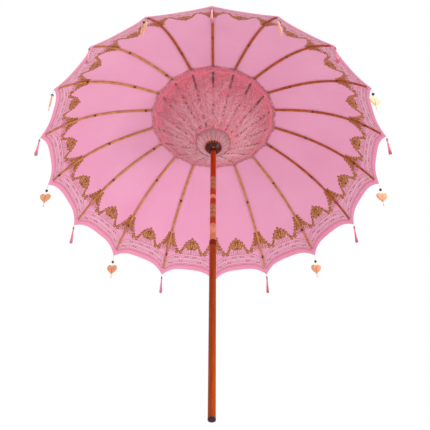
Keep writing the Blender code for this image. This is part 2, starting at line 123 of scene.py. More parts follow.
ARC_R = np.linspace(0, 1.02, 1021)
ARC_STEPS = np.hypot(1, rib_slope((ARC_R[1:] + ARC_R[:-1]) / 2)) * np.diff(ARC_R)
ARC_S = np.concatenate([[0], np.cumsum(ARC_STEPS)])


def radius_in(rim, inward):
    """The rib radius this far inward along the cloth from a rim radius."""
    return np.interp(np.interp(rim, ARC_R, ARC_S) - inward, ARC_S, ARC_R)


def spread(k, t, r):
    """Plan position on the straight line between ribs: t is 0 at rib k and +-1 at mid gore."""
    t, r = np.broadcast_arrays(np.asarray(t, float), np.asarray(r, float))
    w = np.abs(t) / 2
    near, left, right = unit(k), unit(k - 1), unit(k + 1)
    far = np.where(t[..., None] < 0, left, right)
    e = (1 - w)[..., None] * near + w[..., None] * far
    return e * r[..., None], e


def cloth_point(k, t, r, off=0.0):
    """A point on the canopy, off metres outward from the middle of the cloth."""
    flat, e = spread(k, t, r)
    t, r = np.broadcast_arrays(np.asarray(t, float), np.asarray(r, float))
    across = np.sin(np.pi / 2 * np.abs(t)) ** 2
    window = np.clip((r - 0.15) / 0.3, 0, 1) * np.clip((1.02 - r) / 0.12, 0, 1)
    height = cloth_height(r) - CLOTH_SAG * across * window
    # soft pulls that run from the ribs into the gore
    pull = np.cos(np.pi * 3 * t) - np.cos(np.pi * 5 * t)
    height = height + CLOTH_PULL * pull * window * (1 - t**2) ** 2 * np.sin(11 * r + 1.7 * k)
    tilt = np.hypot(1, rib_slope(r))
    out = np.empty(flat.shape[:-1] + (3,))
    out[..., :2] = flat - e * (rib_slope(r) / tilt * off)[..., None]
    out[..., 2] = height + off / tilt
    return out


# ---- mesh helpers


class Build:
    """Collects faces for one piece, with a material index for each."""

    def __init__(self):
        self.points, self.faces, self.slots, self.rounded = [], [], [], []

    def add(self, points, faces, slot=0, flat=0):
        """The last faces, as many as flat says, aren't smoothed."""
        base = len(self.points)
        self.points.extend(map(tuple, np.asarray(points, float).reshape(-1, 3)))
        self.faces.extend(tuple(base + i for i in face) for face in faces)
        self.slots.extend([slot] * len(faces))
        self.rounded.extend([True] * (len(faces) - flat) + [False] * flat)

    def cap(self, points, slot=0):
        """A face with points of its own, so that it doesn't bend the shading beside it."""
        self.add(points, [tuple(range(len(points)))], slot, 1)

    def piece(self, name, materials, body, slot_name=None):
        data = bpy.data.meshes.new(name)
        data.from_pydata(self.points, [], self.faces)
        for material in materials:
            data.materials.append(material)
        data.polygons.foreach_set("material_index", self.slots)
        data.polygons.foreach_set("use_smooth", self.rounded)
        data.update()
        made = bpy.data.objects.new(name, data)
        bpy.context.scene.collection.objects.link(made)
        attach(made, body)
        return made


def grid_faces(rows, columns, wrap=False, start=0):
    faces = []
    for i in range(rows - 1):
        for j in range(columns - (0 if wrap else 1)):
            a = start + i * columns + j
            b = start + i * columns + (j + 1) % columns
            faces.append((a, b, b + columns, a + columns))
    return faces


def shell(build, top, bottom, slot=0):
    """A closed sheet from two matching grids of points (rows, columns, 3)."""
    rows, columns = top.shape[:2]
    build.add(top, [tuple(reversed(f)) for f in grid_faces(rows, columns)], slot)
    build.add(bottom, grid_faces(rows, columns), slot)
    rim = [(0, j) for j in range(columns)] + [(i, columns - 1) for i in range(1, rows)]
    rim += [(rows - 1, j) for j in range(columns - 2, -1, -1)] + [(i, 0) for i in range(rows - 2, 0, -1)]
    # the walls have points of their own, so that they don't bend the shading beside them
    walls = np.stack([grid[tuple(np.transpose(rim + rim[:1]))] for grid in (top, bottom)])
    faces = grid_faces(2, len(rim) + 1)
    build.add(walls, faces, slot, len(faces))


def lathe(build, profile, steps=48, slot=0, wobble=None, centre=(0, 0, 0)):
    """Turns a run of (radius, height) from low to high about an upright axis."""
    turns = np.arange(steps) * 2 * math.pi / steps
    profile = np.asarray(profile, float)
    ring = np.stack([np.cos(turns), np.sin(turns)], -1)
    radii = profile[:, None, 0] * np.ones(steps)
    if wobble is not None:
        radii = radii + wobble(turns[None, :], profile[:, None, 1])
    points = np.empty((len(profile), steps, 3))
    points[..., :2] = ring[None] * radii[..., None]
    points[..., 2] = profile[:, None, 1]
    faces = grid_faces(len(profile), steps, wrap=True)
    faces.append(tuple(range(steps - 1, -1, -1)))
    faces.append(tuple((len(profile) - 1) * steps + i for i in range(steps)))
    build.add(points + np.asarray(centre, float), faces, slot)


def ball(build, centre, radius, slot=0, stretch=1.0, steps=10, rings=6, bore=0.0):
    """A bead with its axis upright."""
    tilt = np.linspace(-math.pi / 2, math.pi / 2, rings + 1)
    profile = np.stack([np.maximum(np.cos(tilt) * radius, bore), np.sin(tilt) * radius * stretch], -1)
    lathe(build, profile, steps, slot, centre=centre)


def tube(build, path, radius, sides=6, slot=0, up=(0, 0, 1)):
    """A closed tube along a path. radius is one number, or one for each point."""
    path = np.asarray(path, float)
    radius = np.broadcast_to(np.asarray(radius, float), len(path))
    along = np.gradient(path, axis=0)
    along /= np.linalg.norm(along, axis=1)[:, None] + 1e-12
    side = np.cross(along, np.asarray(up, float))
    weak = np.linalg.norm(side, axis=1) < 1e-4
    side[weak] = np.cross(along[weak], (1.0, 0.0, 0.0))
    side /= np.linalg.norm(side, axis=1)[:, None]
    over = np.cross(side, along)
    turns = np.arange(sides) * 2 * math.pi / sides + math.pi / sides
    ring = np.cos(turns)[None, :, None] * side[:, None] + np.sin(turns)[None, :, None] * over[:, None]
    points = path[:, None] + ring * radius[:, None, None]
    faces = [tuple(reversed(f)) for f in grid_faces(len(path), sides, wrap=True)]
    faces.append(tuple(range(sides)))
    faces.append(tuple((len(path) - 1) * sides + i for i in range(sides - 1, -1, -1)))
    build.add(points, faces, slot)


# ---- materials


def linear(red, green, blue):
    """A colour from its screen values, 0 to 255."""
    return tuple(
        (c / 12.92 if c <= 0.04045 else ((c + 0.055) / 1.055) ** 2.4)
        for c in (red / 255, green / 255, blue / 255)
    ) + (1.0,)


class Finish:
    """A Principled material that is put together from a few kinds of node."""

    def __init__(self, name, rough=0.5, metal=0.0, **sockets):
        self.material = bpy.data.materials.new(name)
        self.material.use_nodes = True
        self.nodes = self.material.node_tree.nodes
        self.links = self.material.node_tree.links
        self.shader = self.nodes["Principled BSDF"]
        self.shader.inputs["Roughness"].default_value = rough
        self.shader.inputs["Metallic"].default_value = metal
        for socket, value in sockets.items():
            self.shader.inputs[socket.replace("_", " ")].default_value = value
        self.place = self.nodes.new("ShaderNodeTexCoord").outputs["Object"]

    def node(self, kind, **values):
        made = self.nodes.new(kind)
        for key, value in values.items():
            if key in made.inputs:
                made.inputs[key].default_value = value
            else:
                setattr(made, key, value)
        return made

    def noise(self, scale, detail=3.0, stretch=(1, 1, 1), rough=0.5):
        mapping = self.node("ShaderNodeMapping")
        mapping.inputs["Scale"].default_value = stretch
        self.links.new(self.place, mapping.inputs["Vector"])
        made = self.node("ShaderNodeTexNoise", Scale=scale, Detail=detail, Roughness=rough)
        self.links.new(mapping.outputs["Vector"], made.inputs["Vector"])
        return made.outputs["Fac"]

    def wave(self, scale, direction):
        made = self.node("ShaderNodeTexWave", Scale=scale, bands_direction=direction)
        self.links.new(self.place, made.inputs["Vector"])
        return made.outputs["Fac"]

    def ramp(self, source, stops, target="Base Color"):
        made = self.node("ShaderNodeValToRGB")
        for element, (position, colour) in zip(made.color_ramp.elements, stops):
            element.position = position
            element.color = colour
        self.links.new(source, made.inputs["Fac"])
        if target:
            self.links.new(made.outputs["Color"], self.shader.inputs[target])
        return made.outputs["Color"]

    def fill(self, node, values):
        """Links or sets inputs of a node by their numbers."""
        for socket, value in values.items():
            if isinstance(value, bpy.types.NodeSocket):
                self.links.new(value, node.inputs[socket])
            else:
                node.inputs[socket].default_value = value

    def mix(self, share, first, second):
        """The base colour, blended from two."""
        made = self.node("ShaderNodeMix", data_type="RGBA")
        self.fill(made, {0: share, 6: first, 7: second})
        self.links.new(made.outputs[2], self.shader.inputs["Base Color"])

    def math(self, operation, first, second):
        made = self.node("ShaderNodeMath", operation=operation)
        self.fill(made, {0: first, 1: second})
        return made.outputs[0]

    def bump(self, source, strength=0.3, distance=0.001):
        made = self.node("ShaderNodeBump", Strength=strength, Distance=distance)
        self.links.new(source, made.inputs["Height"])
        self.links.new(made.outputs["Normal"], self.shader.inputs["Normal"])

    def rough(self, source, low, high):
        made = self.node("ShaderNodeMapRange")
        made.inputs["To Min"].default_value = low
        made.inputs["To Max"].default_value = high
        self.links.new(source, made.inputs["Value"])
        self.links.new(made.outputs["Result"], self.shader.inputs["Roughness"])


def cotton(name, dark, light, sheen=0.25):
    made = Finish(name, 0.85, Sheen_Weight=sheen, Sheen_Roughness=0.5)
    cloudy = made.noise(3.0, 4.0)
    base = made.ramp(cloudy, [(0.3, linear(*dark)), (0.7, linear(*light))], None)
    warp = made.wave(320.0, "X")
    weft = made.wave(320.0, "Y")
    weave = made.math("ADD", warp, weft)
    slub = made.noise(60.0, 3.0, (1, 6, 1))
    made.mix(made.math("MULTIPLY", slub, 0.12), base, linear(255, 225, 240))
    made.bump(weave, 0.25, 0.0004)
    made.rough(slub, 0.78, 0.92)
    return made.material


def yarn(name, dark, light, scale=90.0):
    made = Finish(name, 0.9, Sheen_Weight=0.35, Sheen_Roughness=0.6)
    strands = made.noise(scale, 3.0, (1, 1, 1))
    made.ramp(strands, [(0.35, linear(*dark)), (0.65, linear(*light))])
    made.bump(made.noise(scale * 6, 2.0), 0.5, 0.0008)
    made.rough(strands, 0.82, 0.96)
    return made.material


def wood(name, dark, light, rough=(0.2, 0.34), grain=14.0, stretch=(6, 6, 0.25), gloss=0.5, bump=0.08):
    made = Finish(name, 0.3, Specular_IOR_Level=gloss)
    streaks = made.noise(grain, 6.0, stretch, 0.6)
    fine = made.noise(grain * 7, 4.0, stretch, 0.6)
    both = made.math("ADD", made.math("MULTIPLY", streaks, 0.65), made.math("MULTIPLY", fine, 0.35))
    made.ramp(both, [(0.36, linear(*dark)), (0.62, linear(*light))])
    made.rough(fine, *rough)
    made.bump(fine, bump, 0.0006)
    return made.material


def gold(name, dark, light, metal=0.35, rough=(0.32, 0.55), scale=120.0):
    made = Finish(name, 0.4, metal)
    flake = made.noise(scale, 4.0)
    made.ramp(flake, [(0.35, linear(*dark)), (0.65, linear(*light))])
    made.rough(flake, *rough)
    made.bump(flake, 0.3, 0.0004)
    return made.material


CLOTH = cotton("pink_cotton_cloth", (244, 158, 196), (250, 172, 207))
HEM = cotton("pink_cotton_hem", (246, 150, 186), (252, 164, 198))
PALE = cotton("pale_painted_line", (255, 222, 236), (255, 236, 245), 0.1)
GOLD = gold("gold_paint_border", (158, 88, 44), (204, 132, 78), 0.25)
# pale gold for leaves, strokes and the pole's flowers, and the painted highlight in the middle of each print
# lobe
GOLD_PALE_AND_HIGHLIGHT = gold("pale_gold_paint_and_painted_highlight", (192, 122, 68), (228, 166, 108), 0.25)
BRONZE = gold("bronze_paint_line", (162, 72, 52), (198, 104, 78), 0.1)
DARK_PAINT = gold("dark_painted_outline", (134, 56, 44), (172, 86, 62), 0.1)
YARN = yarn("web_yarn_base", (228, 106, 128), (246, 138, 156))
YARN_LIGHT = yarn("web_yarn_light", (250, 168, 184), (255, 200, 210))
YARN_MID = yarn("web_yarn_mid", (238, 138, 156), (250, 168, 180))
YARN_DARK = yarn("web_yarn_dark", (96, 18, 28), (144, 44, 56))
YARN_GREEN = yarn("web_yarn_green", (84, 84, 76), (128, 118, 106))
TASSEL_LIGHT = yarn("tassel_thread_light", (240, 138, 164), (252, 168, 190), 260.0)
TASSEL_DEEP = yarn("tassel_thread_deep", (228, 104, 134), (246, 134, 158), 260.0)


# ---- canopy

INNER_RADIUS = 0.0125
SECTOR_COLUMNS, SECTOR_ROWS = 29, 58
HEM_BAND = 0.029
RIB_KEEP, STRUT_KEEP = 0.43, 0.42  # shares of width that go to narrows with the soft pieces


def narrows(k, hinge, keep, *pieces):
    """Gives each soft piece on rib or strut k a mesh of its own."""
    for piece in pieces:
        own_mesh(piece)


def sector_grid(k, off):
    t = np.linspace(-1, 1, SECTOR_COLUMNS)[None, :]
    run = (np.linspace(0, 1, SECTOR_ROWS) ** 0.85)[:, None]
    r = INNER_RADIUS + (hem_radius(t) - INNER_RADIUS) * run
    return cloth_point(k, t * np.ones_like(r), r, off)


def sheet_area(grid):
    a, b, c, d = grid[:-1, :-1], grid[:-1, 1:], grid[1:, 1:], grid[1:, :-1]
    cross = np.linalg.norm(np.cross(b - a, c - a), axis=-1)
    cross = cross + np.linalg.norm(np.cross(c - a, d - a), axis=-1)
    return float(cross.sum() / 2)


def clip_to_half(points):
    """Keeps the part of a polygon of (t, r) with |t| at most 1."""
    for sign in (1, -1):
        kept = []
        for (t0, r0), (t1, r1) in zip(points, points[1:] + points[:1]):
            inside, after = sign * t0 <= 1, sign * t1 <= 1
            if inside:
                kept.append((t0, r0))
            if inside != after:
                share = (sign - t0) / (t1 - t0)
                kept.append((float(sign), r0 + (r1 - r0) * share))
        points = kept
    return points


def raised(build, k, outline, slot, edge=0.0007, crown=0.0006):
    """A painted shape that stands proud of both faces of the cloth. outline is (t, r) points."""
    outline = clip_to_half(outline)
    if len(outline) < 3:
        return
    t, r = np.array(outline).T
    middle = (t.mean(), r.mean())
    count = len(outline)
    proud = CLOTH_HALF + edge / 2
    top = cloth_point(k, t, r, proud)
    low = cloth_point(k, t, r, -proud)
    peak = cloth_point(k, middle[0], middle[1], proud + crown)
    pit = cloth_point(k, middle[0], middle[1], -proud - crown)
    after = [(i + 1) % count for i in range(count)]
    faces = []
    for i, j in enumerate(after):
        faces += [(i, 2 * count, j), (count + i, count + j, 2 * count + 1)]
    faces += [(i, j, count + j, count + i) for i, j in enumerate(after)]
    if sum(t[i] * r[j] - t[j] * r[i] for i, j in enumerate(after)) < 0:
        faces = [tuple(reversed(f)) for f in faces]
    build.add(np.concatenate([top, low, [peak], [pit]]), faces, slot, count)


def oval(across, inward, wide, long, turn=0.0, pointed=0.0, steps=9):
    """Outline of a lobe in metres: across the gore and inward from the hem, turned in degrees."""
    points = []
    cos, sin = math.cos(math.radians(turn)), math.sin(math.radians(turn))
    for i in range(steps):
        a = 2 * math.pi * i / steps
        x = wide / 2 * math.cos(a) * (1 - pointed * 0.5 * (1 + math.sin(a)))
        y = long / 2 * math.sin(a)
        points.append((across + x * cos + y * sin, inward + y * cos - x * sin))
    return points


def on_cloth(points, centre, side):
    """Outline points from metres to (t, r). centre is 0 at the rib and 1 at mid gore."""
    made = []
    for across, inward in points:
        r = float(radius_in(HEM_RADIUS, inward))
        made.append((side * centre + across / (r * HALF_CHORD), r))
    return made


def lobe_pair(lobes, side, x, y, wide, long, turn, pointed=0.2):
    """A gold lobe with a painted highlight in its middle."""
    lobes.append((oval(side * x, y, wide, long, side * turn, pointed), 0))
    # the smaller, paler oval is a painted highlight
    lobes.append((oval(side * x, y, wide * 0.42, long * 0.5, side * turn, pointed, 7), 1))


def mirrored(half):
    """A closed outline from its right half, which runs from the middle at the top to the bottom."""
    return half + [(-x, y) for x, y in reversed(half) if x > 0]


def leaf(lobes, side, foot, turn, start, end, wide, slot, pointed=0.4):
    """A stroke that points away from foot, between two distances from it."""
    a = math.radians(turn)
    middle = (start + end) / 2
    x, y = foot[0] + math.sin(a) * middle, foot[1] + math.cos(a) * middle
    lobes.append((oval(side * x, y, wide, end - start, side * turn, pointed), slot))


def fan_lobes():
    """The motif half way between two ribs: a scalloped crown over leaves, with an arm of
    scallops on each side."""
    half = [(0, 0.190), (0.012, 0.182), (0.022, 0.170), (0.032, 0.156), (0.036, 0.145), (0.032, 0.138)]
    half += [(0.020, 0.136), (0, 0.137)]
    lobes = [(mirrored(half), 0)]
    foot = (0, 0.104)
    for side in (-1, 1):
        for x, y, turn in ((0.018, 0.189, 20), (0.034, 0.174, 40), (0.044, 0.155, 70)):
            lobe_pair(lobes, side, x, y, 0.0215, 0.0230, turn, 0.0)
        for x, y in ((0.053, 0.137), (0.061, 0.123)):
            lobe_pair(lobes, side, x, y, 0.0180, 0.0190, 50, 0.0)
        for turn, end in ((13, 0.084), (27, 0.079), (41, 0.070)):
            leaf(lobes, side, foot, turn, 0.034, end, 0.0085, 1)
            leaf(lobes, side, foot, turn - 7, 0.030, end - 0.012, 0.0040, 2)
        lobe_pair(lobes, side, 0.069, 0.111, 0.024, 0.025, 20)
    leaf(lobes, 1, foot, 0, 0.036, 0.088, 0.0110, 1)
    lobe_pair(lobes, 1, 0, 0.200, 0.0250, 0.0310, 0, 0.3)
    return lobes


def rib_lobes():
    """The motif that hugs a rib: a bell of scallops with leaves inside and round ends."""
    half = [(0, 0.230), (0.012, 0.212), (0.020, 0.190), (0.028, 0.170), (0.040, 0.150), (0.030, 0.142)]
    half += [(0.016, 0.156), (0, 0.160)]
    lobes = [(mirrored(half), 0)]
    for side in (-1, 1):
        for share in np.linspace(0, 1, 6):
            x, y = 0.014 + 0.045 * share**1.5, 0.222 - 0.094 * share
            lobe_pair(lobes, side, x, y, 0.0200, 0.0215, 40 + 26 * share, 0.0)
        leaves = [(0.011, 0.158, 8, 0.034), (0.021, 0.148, 20, 0.030), (0.031, 0.136, 32, 0.028)]
        leaves += [(0.012, 0.132, 6, 0.026), (0.041, 0.127, 42, 0.022)]
        for x, y, turn, long in leaves:
            lobes.append((oval(side * x, y, 0.0060, long, side * turn, 0.5), 0))
            lobes.append((oval(side * (x + 0.004), y - 0.002, 0.0024, long * 0.9, side * turn, 0.5, 6), 2))
        lobe_pair(lobes, side, 0.064, 0.113, 0.026, 0.027, 40)
    lobes.append((oval(0, 0.238, 0.018, 0.034, 0, 0.8), 0))
    return lobes


def bar(start, end, width):
    """A straight stroke between two (across, inward) points, in metres."""
    run = np.subtract(end, start)
    side = np.array([-run[1], run[0]]) / (np.hypot(*run) + 1e-9) * width / 2
    corners = (np.add(start, side), np.add(end, side), np.subtract(end, side), np.subtract(start, side))
    return [tuple(corner) for corner in corners]


# lines of the border: inward distance from the hem, width, slot of PRINT_MATERIALS
BORDER_LINES = (
    (0.0310, 0.0024, 2), (0.0390, 0.0018, 2), (0.0470, 0.0026, 3), (0.0496, 0.0018, 2),
    (0.0632, 0.0018, 2), (0.0658, 0.0026, 3), (0.0750, 0.0026, 3), (0.0776, 0.0018, 2),
    (0.0912, 0.0018, 2), (0.0938, 0.0026, 3), (0.1025, 0.0022, 2),
)
# rows of bow-ties: inward distance from the hem, places from the rib (0) to mid gore (1)
BOW_TIES = ((0.0564, (0.22, 0.62)), (0.0844, (0.42, 0.84)))
COMB_FOOT, COMB_WIDTH = 0.1065, 0.0014
PRINT_MATERIALS = [GOLD, GOLD_PALE_AND_HIGHLIGHT, BRONZE, PALE, DARK_PAINT]


def border_line(build, k, inward, width, slot):
    """A painted line that follows the scalloped hem, from one mid gore to the next."""
    for side in (-1, 1):
        t = side * np.linspace(1.0, 0.045, 15)
        rim = hem_radius(t)
        rows = []
        for off in (CLOTH_HALF + 0.0004, -CLOTH_HALF - 0.0004):
            for edge in (-width / 2, width / 2):
                rows.append(cloth_point(k, t, radius_in(rim, inward + edge), off))
        points = np.stack([rows[0], rows[1], rows[3], rows[2]])
        faces = []
        last = len(t) - 1
        for i in range(last):
            for a in range(4):
                b = (a + 1) % 4
                face = [corner * len(t) + step for corner, step in ((a, i), (a, i + 1), (b, i + 1), (b, i))]
                faces.append(face[::side])
        build.add(points, faces, slot)
        for end in (points[:, 0], points[::-1, last]):
            build.cap(end[::side], slot)


PROUD = (0.0010, 0.0017, 0.0005, 0.0005)  # how far each slot's shapes stand off the cloth


def bow_tie_wing(centre, place, inward, size, tip):
    """Outline, in (t, r), of one wing. centre is the tie's middle across the gore, in metres."""
    rim = float(hem_radius(place))
    r = float(radius_in(rim, inward))
    x, long, tall = 0.0052 * tip, 0.0070 * size, 0.0058 * size
    shape = [(-long * 0.6, 0), (long, -tall), (long * 0.55, 0), (long, tall)]
    return [
        ((centre + x + tip * dx) / (r * HALF_CHORD), float(radius_in(rim, inward + dy)))
        for dx, dy in shape
    ]


def print_sector(k):
    """The painted border on the part of the canopy that belongs to rib k."""
    build = Build()
    for inward, width, slot in BORDER_LINES:
        border_line(build, k, inward, width, slot)
    for outline, slot in rib_lobes():
        raised(build, k, on_cloth(outline, 0, 1), slot, PROUD[slot])
    for side in (-1, 1):
        for outline, slot in fan_lobes():
            points = on_cloth(outline, 1, side)
            if any(abs(t) < 1 for t, r in points):
                raised(build, k, points, slot, PROUD[slot])
        # comb strokes under the fan and beside the rib
        for i in range(13):
            x, slot = 0.0020 + 0.0042 * i, (2, 2, 3)[i % 3]
            top = (-side * x * 0.86, 0.138 - 0.018 * (x / 0.054) ** 2)
            stroke = bar((-side * x, COMB_FOOT), top, COMB_WIDTH)
            raised(build, k, on_cloth(stroke, 1, side), slot, 0.0003, 0.0001)
        for i in range(10):
            x, slot = 0.0105 + 0.0046 * i, (2, 3, 2)[i % 3]
            top = (side * (0.009 + (x - 0.009) * 0.78), 0.140 - 0.026 * (x / 0.056))
            stroke = bar((side * x, COMB_FOOT), top, COMB_WIDTH)
            raised(build, k, on_cloth(stroke, 0, 1), slot, 0.0003, 0.0001)
        # bow-ties with a dark outline, staggered on the two double lines
        for inward, places in BOW_TIES:
            for place in places:
                r = float(radius_in(float(hem_radius(place)), inward))
                centre = side * place * r * HALF_CHORD
                for tip in (-1, 1):
                    for size, slot, edge in ((1.05, 4, 0.0007), (0.62, 0, 0.0012)):
                        raised(build, k, bow_tie_wing(centre, place, inward, size, tip), slot, edge, 0.0004)
    return build.piece(numbered("border_print", k), PRINT_MATERIALS, numbered("rib", k), "gold_paint")


def canopy_sector(k):
    body = numbered("rib", k)
    build = Build()
    top, bottom = sector_grid(k, CLOTH_HALF), sector_grid(k, -CLOTH_HALF)
    shell(build, top, bottom)
    cloth = build.piece(numbered("canopy_gore", k), [CLOTH], body, "pink_cotton")
    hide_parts("canopy_cloth")
    # a folded hem with a rounded outer edge
    t = np.linspace(-1, 1, 45)[None, :]
    inward = np.array([HEM_BAND, HEM_BAND - 0.0006, 0.016, 0.003, 0.0006, -0.0002])
    proud = CLOTH_HALF + np.array([0.00005, 0.0006, 0.0007, 0.0007, 0.0004, -0.0004])
    rim = hem_radius(t)
    rows = [cloth_point(k, t[0], radius_in(rim[0], d), p) for d, p in zip(inward, proud)]
    rows += [cloth_point(k, t[0], radius_in(rim[0], d), -p) for d, p in zip(inward[::-1], proud[::-1])]
    points = np.stack(rows)
    build = Build()
    columns = points.shape[1]
    last = (len(points) - 1) * columns
    faces = [tuple(reversed(f)) for f in grid_faces(len(points), columns)]
    faces += [(j, j + 1, last + j + 1, last + j) for j in range(columns - 1)]
    build.add(points, faces)
    build.cap(points[::-1, 0])
    build.cap(points[:, -1])
    hem = build.piece(numbered("canopy_hem", k), [HEM], body, "pink_cotton")
    border = print_sector(k)
    sheet_area(sector_grid(k, 0.0))
    narrows(k, "rib", RIB_KEEP, cloth, hem, border)


for k in range(RIBS):
    canopy_sector(k)


# ---- ribs and struts



def bamboo(name, dark, light, grain=22.0, stretch=(1.4, 1.4, 1.4), gloss=0.05, bump=0.12):
    return wood(name, dark, light, (0.4, 0.6), grain, stretch, gloss, bump)


BAMBOO = bamboo("bamboo_split", (186, 114, 66), (222, 158, 104))
# darker, redder bamboo that paints shade on the ribs of the side away from the light
BAMBOO_RED_PAINTED_SHADE = bamboo("bamboo_split_red_painted_shade", (158, 72, 34), (198, 106, 56))
BAMBOO_DARK = bamboo("bamboo_node", (104, 46, 26), (140, 72, 40), 30.0, (2, 2, 2), 0.1, 0.15)
# the ribs on the shaded side, which get the painted-shade bamboo
SHADED_SIDE_RIBS = (17, 0, 1, 2, 3, 4, 5, 6)
BAR_CORNER = 3  # points on each corner of a bar's outline
RIB_WIDTH, RIB_DEPTH = 0.0136, 0.0085
NODE_HALF = 0.0075  # dark length on each side of a bamboo node
BINDING_AT, BINDING_TURNS, BINDING_REACH = 0.380, 5, 0.016
BINDING = yarn("binding_thread", (70, 30, 34), (104, 48, 50), 300.0)


def polar(k, r, z, across=0.0):
    """A point by its radius, height and offset across rib k."""
    e, side = unit(k), tangent(k)
    r, z, across = np.broadcast_arrays(*(np.asarray(v, float) for v in (r, z, across)))
    return np.stack([e[0] * r + side[0] * across, e[1] * r + side[1] * across, z], -1)


def rib_middle(r):
    """Radius and height of the rib's middle, square below the cloth."""
    slope = rib_slope(r)
    tilt = np.hypot(1, slope)
    return r + slope / tilt * RIB_BELOW_CLOTH, rib_height(r) - RIB_BELOW_CLOTH / tilt


def bar_section(build, path, side, wide, tall):
    """A rounded bar along a path. side is its width's direction; wide and tall run along it."""
    path = np.asarray(path, float)
    along = np.gradient(path, axis=0)
    along /= np.linalg.norm(along, axis=1)[:, None]
    side = np.asarray(side, float)
    over = np.cross(along, side)
    outline = []  # a rectangle with rounded corners, blended with an ellipse
    for quarter, (x, y) in enumerate(((1, 1), (-1, 1), (-1, -1), (1, -1))):
        for i in range(BAR_CORNER):
            a = math.pi / 2 * (quarter + i / (BAR_CORNER - 1))
            outline.append((0.62 * x + 0.38 * math.cos(a), 0.45 * y + 0.55 * math.sin(a)))
    outline = np.array(outline)
    wide = np.broadcast_to(wide, len(path))[:, None, None] / 2
    tall = np.broadcast_to(tall, len(path))[:, None, None] / 2
    points = path[:, None] + outline[None, :, :1] * wide * side
    points = points + outline[None, :, 1:] * tall * over[:, None]
    count = len(outline)
    faces = grid_faces(len(path), count, wrap=True)
    faces.append(tuple(range(count - 1, -1, -1)))
    faces.append(tuple((len(path) - 1) * count + i for i in range(count)))
    build.add(points, [tuple(reversed(f)) for f in faces])


def make_rib(k):
    rng = random.Random(40 + k)
    node_at = rng.uniform(0.52, 0.74)
    second = node_at - 0.30 if node_at > 0.66 else node_at + 0.29
    places = (node_at, second)
    around = np.array([-0.006, -0.003, -0.001, 0.001, 0.003, 0.006])
    r = [np.linspace(0.055, 0.34, 12), np.linspace(0.352, RIB_END_RADIUS, 62)]
    r = np.sort(np.concatenate(r + [place + around for place in places]))
    radius, height = rib_middle(r)
    radius = np.concatenate([[CROWN_PIVOT[0] - 0.0035, CROWN_PIVOT[0]], radius])
    height = np.concatenate([[CROWN_PIVOT[1]] * 2, height])
    along = np.concatenate([[0.041, 0.045], r])
    scale = np.minimum(0.70 + (along - 0.045) * 2.4, 0.72 + (RIB_END_RADIUS - along) * 0.9)
    scale = np.minimum(1, scale)
    swell = sum(np.exp(-(((along - place) / 0.0035) ** 2)) for place in places)
    kink = 0.0008 * np.sin((along - node_at) * 9) * (along > 0.4)
    build = Build()
    wide = RIB_WIDTH * scale * (1 + 0.10 * swell)
    tall = RIB_DEPTH * scale * (1 + 0.06 * swell)
    bar_section(build, polar(k, radius, height, kink), tangent(k), wide, tall)
    # darken the nodes, by the faces' place along the rib
    for face in range(len(build.faces)):
        ring = min(face // (4 * BAR_CORNER), len(along) - 2)
        middle = (along[ring] + along[ring + 1]) / 2
        if min(abs(middle - place) for place in places) < NODE_HALF:
            build.slots[face] = 1
    # ribs on the shaded side get the darker bamboo as painted shade
    split = BAMBOO_RED_PAINTED_SHADE if k in SHADED_SIDE_RIBS else BAMBOO
    body = numbered("rib", k)
    rib = build.piece(numbered("bamboo_rib", k), [split, BAMBOO_DARK], body, "bamboo")
    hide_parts(body)
    # crossed thread where the strut is bound to the rib
    build = Build()
    size = float(np.interp(BINDING_AT, along, scale))
    slope = rib_slope(BINDING_AT)
    tilt = math.hypot(1, slope)
    a = np.linspace(0, 2 * math.pi, 13)
    up = np.sin(a) * (0.0047 * size + 0.0009)
    across = np.cos(a) * (0.00665 * size + 0.0004)
    for i in range(BINDING_TURNS):
        at = BINDING_AT + (i / (BINDING_TURNS - 1) - 0.5) * BINDING_REACH
        for lean in (-1, 1):
            rr, zz = rib_middle(at + lean * 0.004 * np.cos(a) * 0.5)
            path = polar(k, rr - slope / tilt * up, zz + up / tilt, across)
            tube(build, path, 0.0006, 4, up=(0.3, 0.2, 0.9))
    build.piece(numbered("rib_binding", k), [BINDING], body)


STRUT_OUT = rib_middle(STRUT_AT_RIB)


for k in range(RIBS):
    make_rib(k)
    strut = frame["nodes"][numbered("strut", k)]
    strut.data.materials.clear()
    strut.data.materials.append(BAMBOO)

# ---- string web

WEB_IN, WEB_OUT = 0.049, 0.356
EDGE_IN, EDGE_OUT = 0.346, 0.368
EDGE_BELOW_RIB, EDGE_RISE = 0.0126, 0.0082
WEB_THREADS, EDGE_FIBRES = 190, 230  # for each strut's side, and for each rib
RING_RADIUS = 0.099  # of the dotted ring round the runner
DARK_STRUTS = (17, 0, 1, 2, 3)  # with a thick dark crossing at the rib
WEB_MATERIALS = [YARN_MID, YARN_LIGHT, YARN, YARN_DARK, YARN_GREEN]
WEB_RUN = np.subtract(STRUT_OUT, RUNNER_PIVOT)
WEB_ALONG = WEB_RUN / np.hypot(*WEB_RUN)
WEB_DOWN = np.array([WEB_ALONG[1], -WEB_ALONG[0]])


def web_point(k, t, r, below=0.0):
    """A point on the web, below metres under its middle surface."""
    r = np.asarray(r, float)
    base = RUNNER_PIVOT[1] + (r - RUNNER_PIVOT[0]) * WEB_ALONG[1] / WEB_ALONG[0]
    drop = WEB_BELOW_STRUT + np.asarray(below, float)
    flat = spread(k, t, r + WEB_DOWN[0] * drop)[0]
    out = np.empty(flat.shape[:-1] + (3,))
    out[..., :2] = flat
    out[..., 2] = base + WEB_DOWN[1] * drop
    return out


